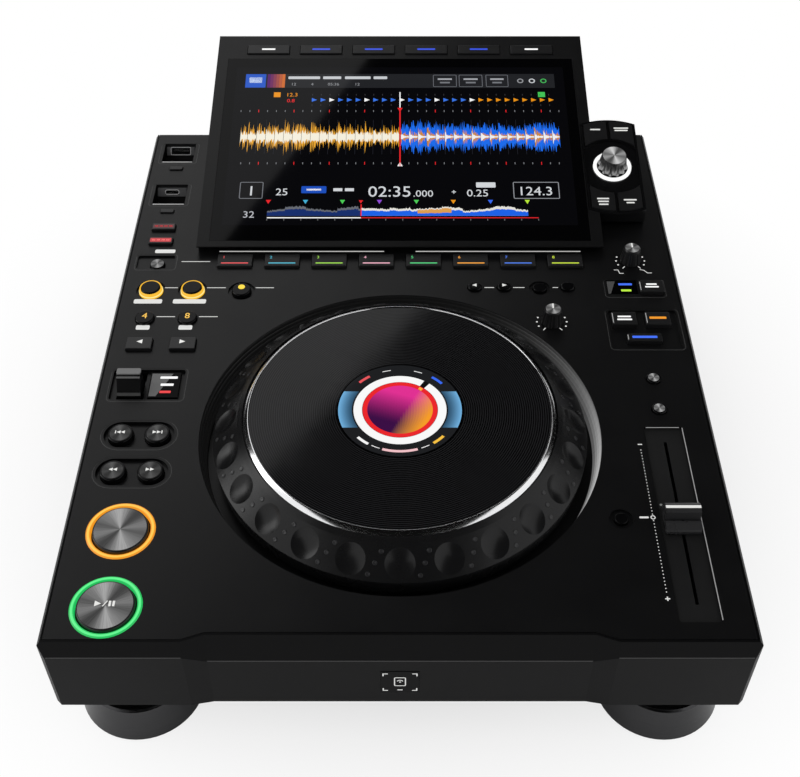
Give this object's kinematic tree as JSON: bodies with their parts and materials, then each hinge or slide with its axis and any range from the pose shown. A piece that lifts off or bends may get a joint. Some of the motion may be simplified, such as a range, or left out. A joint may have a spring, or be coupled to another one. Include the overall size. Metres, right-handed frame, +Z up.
{
  "type": "tabletop media player",
  "caption": "Black tabletop player for disc jockeys: a large platter with a dimpled ring, a raised screen, key pads, a tempo fader and tall round feet.",
  "frame": {"origin": "bottom centre of the bounding box, on the surface the feet stand on", "axes": "+X to the user's right, +Y from the user to the back, +Z up"},
  "size_m": [0.329, 0.455, 0.1293],
  "materials": {
    "lower_case": "satin black moulded case with a fine grain",
    "top_panel": "satin black deck with a fine grain",
    "case_screws": "blackened steel screws",
    "feet": "dark turned metal with fine rings",
    "foot_pads": "matt black rubber",
    "rear_panel": "black powder-coated steel",
    "rear_sockets": "black socket bodies with plated sleeves",
    "power_inlet": "black moulded inlet",
    "screen_housing": "satin black moulded housing",
    "screen_glass": "polished black cover glass",
    "screen_module": "display panel behind the glass",
    "selector_pod": "black pod with a glossy dish",
    "selector_keys": "satin black keys",
    "selector_shaft": "steel shaft",
    "selector_knob": "turned metal knob with flutes",
    "jog_ring": "satin black moulded ring with dimples",
    "jog_trim_ring": "bright plated ring",
    "jog_disc": "black disc with fine concentric grooves",
    "jog_bearing": "machined spindle",
    "jog_display": "polished black round display",
    "main_board": "printed circuit board",
    "power_supply": "plain metal can",
    "key_board": "printed circuit board with switches",
    "fader_module": "slide potentiometer",
    "fader_cap": "satin black cap with a white line",
    "direction_lever": "black lever with a grey cap",
    "usb_bezels": "grey plates",
    "usb_ports": "plated shells",
    "light_rings": "translucent lit rings",
    "trim_windows": "glossy black windows",
    "menu_keys": "satin black keys",
    "speed_adjust_knob": "black ribbed dial",
    "jog_adjust_knob": "black ribbed dial",
    "play_key": "dark turned face",
    "cue_key": "dark turned face",
    "track_search_keys": "dark turned face",
    "search_keys": "dark turned face",
    "beat_jump_keys": "black key cap",
    "beat_loop_keys": "black key cap",
    "loop_in_key": "black key cap",
    "loop_out_key": "black key cap",
    "reloop_key": "black key cap",
    "pad_delete_key": "black key cap",
    "delete_key": "black key cap",
    "memory_keys": "black key cap",
    "mode_keys": "black key cap",
    "usb_stop_keys": "black key cap",
    "sync_keys": "black key cap",
    "key_sync_key": "black key cap",
    "jog_mode_key": "black key cap",
    "tempo_keys": "black key cap",
    "tempo_reset_key": "black key cap",
    "hot_cue_pad_1": "black pad with a coloured light bar",
    "hot_cue_pad_2": "black pad with a coloured light bar",
    "hot_cue_pad_3": "black pad with a coloured light bar",
    "hot_cue_pad_4": "black pad with a coloured light bar",
    "hot_cue_pad_5": "black pad with a coloured light bar",
    "hot_cue_pad_6": "black pad with a coloured light bar",
    "hot_cue_pad_7": "black pad with a coloured light bar",
    "hot_cue_pad_8": "black pad with a coloured light bar"
  },
  "bodies": {
    "base": {"lower_case": "lower_case", "top_panel": "top_panel", "case_screws": "case_screws", "feet": "feet", "foot_pads": "foot_pads", "rear_panel": "rear_panel", "rear_sockets": "rear_sockets", "power_inlet": "power_inlet", "screen_housing": "screen_housing", "screen_glass": "screen_glass", "screen_module": "screen_module", "selector_pod": "selector_pod", "jog_bearing": "jog_bearing", "jog_display": "jog_display", "main_board": "main_board", "power_supply": "power_supply", "key_board": "key_board", "fader_module": "fader_module", "usb_bezels": "usb_bezels", "usb_ports": "usb_ports", "light_rings": "light_rings", "trim_windows": "trim_windows"},
    "jog_wheel": {"jog_ring": "jog_ring", "jog_trim_ring": "jog_trim_ring", "jog_disc": "jog_disc"},
    "tempo_fader": {"fader_cap": "fader_cap"},
    "selector_push": {"selector_shaft": "selector_shaft"},
    "selector_dial": {"selector_knob": "selector_knob"},
    "jog_adjust": {"jog_adjust_knob": "jog_adjust_knob"},
    "speed_adjust": {"speed_adjust_knob": "speed_adjust_knob"},
    "direction_switch": {"direction_lever": "direction_lever"},
    "menu_key_set": {"menu_keys": "menu_keys"},
    "selector_key_set": {"selector_keys": "selector_keys"},
    "play_key_cap": {"play_key": "play_key"},
    "cue_key_cap": {"cue_key": "cue_key"},
    "track_search_keys_cap": {"track_search_keys": "track_search_keys"},
    "search_keys_cap": {"search_keys": "search_keys"},
    "beat_jump_keys_cap": {"beat_jump_keys": "beat_jump_keys"},
    "beat_loop_keys_cap": {"beat_loop_keys": "beat_loop_keys"},
    "loop_in_key_cap": {"loop_in_key": "loop_in_key"},
    "loop_out_key_cap": {"loop_out_key": "loop_out_key"},
    "reloop_key_cap": {"reloop_key": "reloop_key"},
    "pad_delete_key_cap": {"pad_delete_key": "pad_delete_key"},
    "delete_key_cap": {"delete_key": "delete_key"},
    "memory_keys_cap": {"memory_keys": "memory_keys"},
    "mode_keys_cap": {"mode_keys": "mode_keys"},
    "usb_stop_keys_cap": {"usb_stop_keys": "usb_stop_keys"},
    "sync_keys_cap": {"sync_keys": "sync_keys"},
    "key_sync_key_cap": {"key_sync_key": "key_sync_key"},
    "jog_mode_key_cap": {"jog_mode_key": "jog_mode_key"},
    "tempo_keys_cap": {"tempo_keys": "tempo_keys"},
    "tempo_reset_key_cap": {"tempo_reset_key": "tempo_reset_key"},
    "hot_cue_pad_1_cap": {"hot_cue_pad_1": "hot_cue_pad_1"},
    "hot_cue_pad_2_cap": {"hot_cue_pad_2": "hot_cue_pad_2"},
    "hot_cue_pad_3_cap": {"hot_cue_pad_3": "hot_cue_pad_3"},
    "hot_cue_pad_4_cap": {"hot_cue_pad_4": "hot_cue_pad_4"},
    "hot_cue_pad_5_cap": {"hot_cue_pad_5": "hot_cue_pad_5"},
    "hot_cue_pad_6_cap": {"hot_cue_pad_6": "hot_cue_pad_6"},
    "hot_cue_pad_7_cap": {"hot_cue_pad_7": "hot_cue_pad_7"},
    "hot_cue_pad_8_cap": {"hot_cue_pad_8": "hot_cue_pad_8"}
  },
  "joints": [
    {"name": "jog_spin", "type": "hinge", "parent": "base", "child": "jog_wheel", "pos_m": [0, -0.0949, 0.087], "axis": [0, 0, 1], "continuous": true},
    {"name": "tempo_slide", "type": "slide", "parent": "base", "child": "tempo_fader", "axis": [0, 1, 0], "range_m": [-0.0475, 0.0475]},
    {"name": "selector_press", "type": "slide", "parent": "base", "child": "selector_push", "axis": [0, -0.1999, 0.9798], "range_m": [-0.0008, 0], "stiffness_N_per_m": 1500, "springref_m": 0.0008},
    {"name": "selector_turn", "type": "hinge", "parent": "selector_push", "child": "selector_dial", "pos_m": [0.1336, 0.11099, 0.10565], "axis": [0, -0.1999, 0.9798], "continuous": true},
    {"name": "jog_adjust_turn", "type": "hinge", "parent": "base", "child": "jog_adjust", "pos_m": [0.0866, -0.0127, 0.087], "axis": [0, 0, 1], "range_deg": [-140, 140]},
    {"name": "speed_adjust_turn", "type": "hinge", "parent": "base", "child": "speed_adjust", "pos_m": [0.1383, 0.0409, 0.087], "axis": [0, 0, 1], "range_deg": [-140, 140]},
    {"name": "direction_rock", "type": "hinge", "parent": "base", "child": "direction_switch", "pos_m": [-0.1457, -0.0625, 0.078], "axis": [1, 0, 0], "range_deg": [-12, 12]},
    {"name": "menu_keys_press", "type": "slide", "parent": "base", "child": "menu_key_set", "axis": [0, -0.1999, 0.9798], "range_m": [-0.0008, 0], "stiffness_N_per_m": 600, "springref_m": 0.0008},
    {"name": "selector_keys_press", "type": "slide", "parent": "base", "child": "selector_key_set", "axis": [0, -0.1999, 0.9798], "range_m": [-0.0008, 0], "stiffness_N_per_m": 600, "springref_m": 0.0008},
    {"name": "play_key_press", "type": "slide", "parent": "base", "child": "play_key_cap", "axis": [0, 0, 1], "range_m": [-0.001, 0], "stiffness_N_per_m": 600, "springref_m": 0.0008},
    {"name": "cue_key_press", "type": "slide", "parent": "base", "child": "cue_key_cap", "axis": [0, 0, 1], "range_m": [-0.001, 0], "stiffness_N_per_m": 600, "springref_m": 0.0008},
    {"name": "track_search_keys_press", "type": "slide", "parent": "base", "child": "track_search_keys_cap", "axis": [0, 0, 1], "range_m": [-0.001, 0], "stiffness_N_per_m": 600, "springref_m": 0.0008},
    {"name": "search_keys_press", "type": "slide", "parent": "base", "child": "search_keys_cap", "axis": [0, 0, 1], "range_m": [-0.001, 0], "stiffness_N_per_m": 600, "springref_m": 0.0008},
    {"name": "beat_jump_keys_press", "type": "slide", "parent": "base", "child": "beat_jump_keys_cap", "axis": [0, 0, 1], "range_m": [-0.0008, 0], "stiffness_N_per_m": 600, "springref_m": 0.0008},
    {"name": "beat_loop_keys_press", "type": "slide", "parent": "base", "child": "beat_loop_keys_cap", "axis": [0, 0, 1], "range_m": [-0.0008, 0], "stiffness_N_per_m": 600, "springref_m": 0.0008},
    {"name": "loop_in_key_press", "type": "slide", "parent": "base", "child": "loop_in_key_cap", "axis": [0, 0, 1], "range_m": [-0.0008, 0], "stiffness_N_per_m": 600, "springref_m": 0.0008},
    {"name": "loop_out_key_press", "type": "slide", "parent": "base", "child": "loop_out_key_cap", "axis": [0, 0, 1], "range_m": [-0.0008, 0], "stiffness_N_per_m": 600, "springref_m": 0.0008},
    {"name": "reloop_key_press", "type": "slide", "parent": "base", "child": "reloop_key_cap", "axis": [0, 0, 1], "range_m": [-0.0008, 0], "stiffness_N_per_m": 600, "springref_m": 0.0008},
    {"name": "pad_delete_key_press", "type": "slide", "parent": "base", "child": "pad_delete_key_cap", "axis": [0, 0, 1], "range_m": [-0.0008, 0], "stiffness_N_per_m": 600, "springref_m": 0.0008},
    {"name": "delete_key_press", "type": "slide", "parent": "base", "child": "delete_key_cap", "axis": [0, 0, 1], "range_m": [-0.0008, 0], "stiffness_N_per_m": 600, "springref_m": 0.0008},
    {"name": "memory_keys_press", "type": "slide", "parent": "base", "child": "memory_keys_cap", "axis": [0, 0, 1], "range_m": [-0.0008, 0], "stiffness_N_per_m": 600, "springref_m": 0.0008},
    {"name": "mode_keys_press", "type": "slide", "parent": "base", "child": "mode_keys_cap", "axis": [0, 0, 1], "range_m": [-0.0008, 0], "stiffness_N_per_m": 600, "springref_m": 0.0008},
    {"name": "usb_stop_keys_press", "type": "slide", "parent": "base", "child": "usb_stop_keys_cap", "axis": [0, 0, 1], "range_m": [-0.0008, 0], "stiffness_N_per_m": 600, "springref_m": 0.0008},
    {"name": "sync_keys_press", "type": "slide", "parent": "base", "child": "sync_keys_cap", "axis": [0, 0, 1], "range_m": [-0.0008, 0], "stiffness_N_per_m": 600, "springref_m": 0.0008},
    {"name": "key_sync_key_press", "type": "slide", "parent": "base", "child": "key_sync_key_cap", "axis": [0, 0, 1], "range_m": [-0.0008, 0], "stiffness_N_per_m": 600, "springref_m": 0.0008},
    {"name": "jog_mode_key_press", "type": "slide", "parent": "base", "child": "jog_mode_key_cap", "axis": [0, 0, 1], "range_m": [-0.0008, 0], "stiffness_N_per_m": 600, "springref_m": 0.0008},
    {"name": "tempo_keys_press", "type": "slide", "parent": "base", "child": "tempo_keys_cap", "axis": [0, 0, 1], "range_m": [-0.0008, 0], "stiffness_N_per_m": 600, "springref_m": 0.0008},
    {"name": "tempo_reset_key_press", "type": "slide", "parent": "base", "child": "tempo_reset_key_cap", "axis": [0, 0, 1], "range_m": [-0.0008, 0], "stiffness_N_per_m": 600, "springref_m": 0.0008},
    {"name": "hot_cue_pad_1_press", "type": "slide", "parent": "base", "child": "hot_cue_pad_1_cap", "axis": [0, 0, 1], "range_m": [-0.0008, 0], "stiffness_N_per_m": 600, "springref_m": 0.0008},
    {"name": "hot_cue_pad_2_press", "type": "slide", "parent": "base", "child": "hot_cue_pad_2_cap", "axis": [0, 0, 1], "range_m": [-0.0008, 0], "stiffness_N_per_m": 600, "springref_m": 0.0008},
    {"name": "hot_cue_pad_3_press", "type": "slide", "parent": "base", "child": "hot_cue_pad_3_cap", "axis": [0, 0, 1], "range_m": [-0.0008, 0], "stiffness_N_per_m": 600, "springref_m": 0.0008},
    {"name": "hot_cue_pad_4_press", "type": "slide", "parent": "base", "child": "hot_cue_pad_4_cap", "axis": [0, 0, 1], "range_m": [-0.0008, 0], "stiffness_N_per_m": 600, "springref_m": 0.0008},
    {"name": "hot_cue_pad_5_press", "type": "slide", "parent": "base", "child": "hot_cue_pad_5_cap", "axis": [0, 0, 1], "range_m": [-0.0008, 0], "stiffness_N_per_m": 600, "springref_m": 0.0008},
    {"name": "hot_cue_pad_6_press", "type": "slide", "parent": "base", "child": "hot_cue_pad_6_cap", "axis": [0, 0, 1], "range_m": [-0.0008, 0], "stiffness_N_per_m": 600, "springref_m": 0.0008},
    {"name": "hot_cue_pad_7_press", "type": "slide", "parent": "base", "child": "hot_cue_pad_7_cap", "axis": [0, 0, 1], "range_m": [-0.0008, 0], "stiffness_N_per_m": 600, "springref_m": 0.0008},
    {"name": "hot_cue_pad_8_press", "type": "slide", "parent": "base", "child": "hot_cue_pad_8_cap", "axis": [0, 0, 1], "range_m": [-0.0008, 0], "stiffness_N_per_m": 600, "springref_m": 0.0008}
  ]
}
